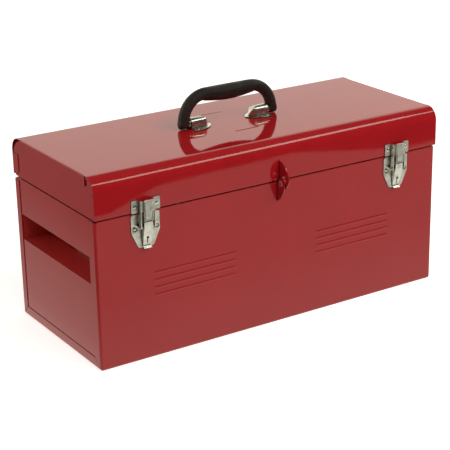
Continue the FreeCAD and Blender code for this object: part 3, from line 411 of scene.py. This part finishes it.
redEnamel = makeEnamel("redStovingEnamel", enamel)
trayEnamel = makeEnamel("trayStovingEnamel", trayLook)
pocketLitEnamel = makeEnamel("pocketStovingEnamelPaintedLight", pocketLitLook)
hingeEnamel = makeEnamel("hingeStovingEnamel", hingeLook)
brightNickel = makeNickel("brightNickelPlate", nickel)
blackGrip = makeGripPolymer("pebbledPolypropylene", gripLook)
print("materials made")


def givePaint(obj, material):
    obj.data.materials.clear()
    obj.data.materials.append(material)


edgeRounding = {                             # mm: how far each kind of sheet's cut edges are eased
    "red_enamel": 0.22,
    "tray_enamel": 0.22,
    "hinge_steel": 0.15,
    "bright_steel": 0.22,
}
easing = {
    "weldDistance": 0.002,                   # mm
    "segments": 2,
    "angle": 40.0,                           # degrees; flatter edges are left as they are
}


def easeEdges(obj, width):                   # rounds the cut edges of a pressed part, so that they catch the light
    weld = obj.modifiers.new("weld", "WELD")
    weld.merge_threshold = easing["weldDistance"] * mm
    bevel = obj.modifiers.new("easedEdges", "BEVEL")
    bevel.width = width * mm
    bevel.segments = easing["segments"]
    bevel.limit_method = "ANGLE"
    bevel.angle_limit = math.radians(easing["angle"])
    bevel.use_clamp_overlap = True
    weighted = obj.modifiers.new("evenShading", "WEIGHTED_NORMAL")
    weighted.keep_sharp = False


slotMaterials = {
    "red_enamel": redEnamel,
    "tray_enamel": trayEnamel,
    "hinge_steel": hingeEnamel,
    "bright_steel": brightNickel,
    "grip_polymer": blackGrip,
}
slots = {part["node"]: part["material_slot"] for part in frame["record"]["subparts"]}
for name, obj in nodes.items():
    # the hand pocket gets the lighter red enamel, which carries painted light
    givePaint(obj, pocketLitEnamel if name.endswith("grip_pocket") else slotMaterials[slots[name]])
    if slots[name] in edgeRounding:
        easeEdges(obj, edgeRounding[slots[name]])
print("frame's own pieces finished")


gripShape = {                                # mm
    "barRadius": 7.4,
    "barStart": 0.99,                        # how nearly level the centre line is where the bar begins
    "fingerDrop": 5.4,                       # how much lower the underside hangs in the middle
    "fingerSide": 2.6,                       # how much wider the bar is there, each side
    "fingerHalf": 50.0,
    "fingerFade": 1.5,                       # power of the swelling's fade towards its ends
    "shoulderRadius": 33.0,
    "footDepth": 6.5,                        # half thickness of the foot, round the pivot
    "footBlend": 9.0,                        # height over which the foot turns into the round leg
    "footCorner": 2.4,
    "footSquareness": 1.4,                   # added there to the round section's power of 2
    "footTurns": (0.15, 0.45, 0.75),         # rings round the foot's end, as shares of a quarter turn
    "partingLine": 0.12,                     # height of the mould's parting line
    "partingHalf": 0.05,                     # its half width, as a sine
    "lean": 2.5,                             # each leg leans in by this much at the top
    "sides": 40,
    "legSteps": 12,
    "arcSteps": 14,
    "halfBarSteps": 20,
}


def gripStations(look, halfSpan, axisZ, rise):           # centre, direction and height, from left foot to middle
    shoulder = look["shoulderRadius"]
    legTop = rise - shoulder
    stations = []
    for i in range(look["legSteps"] + 1):
        z = legTop * (i / look["legSteps"])
        stations.append((Vector((-halfSpan + look["lean"] * z / rise, 0, axisZ + z)), Vector((0, 0, 1)), z))
    arcX = -halfSpan + look["lean"] * legTop / rise + shoulder
    for i in range(1, look["arcSteps"] + 1):
        a = math.pi / 2 * i / look["arcSteps"]
        centre = Vector((arcX - shoulder * math.cos(a), 0, axisZ + legTop + shoulder * math.sin(a)))
        stations.append((centre, Vector((math.sin(a), 0, math.cos(a))), rise))
    for i in range(1, look["halfBarSteps"] + 1):
        x = arcX * (1 - i / look["halfBarSteps"])
        stations.append((Vector((x, 0, axisZ + rise)), Vector((1, 0, 0)), rise))
    return stations


def gripRing(look, centre, along, height):
    side = Vector((0, 1, 0))
    out = along.cross(side)                  # away from the fingers
    swell = 0.0
    if along.x > look["barStart"]:
        swell = max(0.0, 1 - (abs(centre.x) / look["fingerHalf"]) ** 2) ** look["fingerFade"]
    foot = max(0.0, 1 - height / look["footBlend"])
    foot = foot * foot * (3 - 2 * foot)
    halfSide = look["barRadius"] + look["fingerSide"] * swell - (look["barRadius"] - look["footDepth"]) * foot
    power = 2 / (2.0 + look["footSquareness"] * foot)
    ring = []
    for k in range(look["sides"]):
        a = 2 * math.pi * k / look["sides"]
        c, s = math.cos(a), math.sin(a)
        reach = look["barRadius"] + (look["fingerDrop"] * swell if c < 0 else 0.0)
        if abs(s) < look["partingHalf"]:
            reach += look["partingLine"]
        outward = math.copysign(abs(c) ** power, c) * reach
        sideways = math.copysign(abs(s) ** power, s) * halfSide
        ring.append(out * outward + side * sideways)
    return ring


def makeGrip(look):                          # the bar swells under the fingers, and its feet are rounded
    low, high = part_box("handle_grip")
    middleX, middleY = (low[0] + high[0]) / 2 / mm, (low[1] + high[1]) / 2 / mm
    halfSpan = (high[0] - low[0]) / 2 / mm - look["barRadius"]
    axisZ = low[2] / mm + look["footDepth"]
    rise = high[2] / mm - look["barRadius"] - axisZ
    stations = gripStations(look, halfSpan, axisZ, rise)
    footCentre = stations[0][0]
    footRing = gripRing(look, *stations[0])
    rings = []
    for turn in look["footTurns"]:           # the foot's round under the pivot
        a = math.pi / 2 * turn
        inset = 1 - look["footCorner"] * (1 - math.sin(a)) / look["barRadius"]
        drop = Vector((0, 0, look["footDepth"] * math.cos(a)))
        rings.append([footCentre + Vector((v.x * inset, v.y * math.sin(a), 0)) - drop for v in footRing])
    for centre, along, height in stations:
        rings.append([centre + v for v in gripRing(look, centre, along, height)])
    rings += [[Vector((-v.x, v.y, v.z)) for v in ring] for ring in reversed(rings[:-1])]
    mesh = bmesh.new()
    place = Vector((middleX, middleY, 0))
    made = [[mesh.verts.new((v + place) * mm) for v in ring] for ring in rings]
    n = look["sides"]
    for a, b in zip(made, made[1:]):
        for k in range(n):
            mesh.faces.new((a[k], a[(k + 1) % n], b[(k + 1) % n], b[k]))
    mesh.faces.new(made[0])
    mesh.faces.new(made[-1])
    bmesh.ops.recalc_face_normals(mesh, faces=mesh.faces)
    data = bpy.data.meshes.new("carryGrip")
    mesh.to_mesh(data)
    mesh.free()
    grip = bpy.data.objects.new("carryGrip", data)
    bpy.context.scene.collection.objects.link(grip)
    data.shade_smooth()
    givePaint(grip, blackGrip)
    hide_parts("handle_grip")
    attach(grip, "carry_handle")


makeGrip(gripShape)
print("grip moulded")
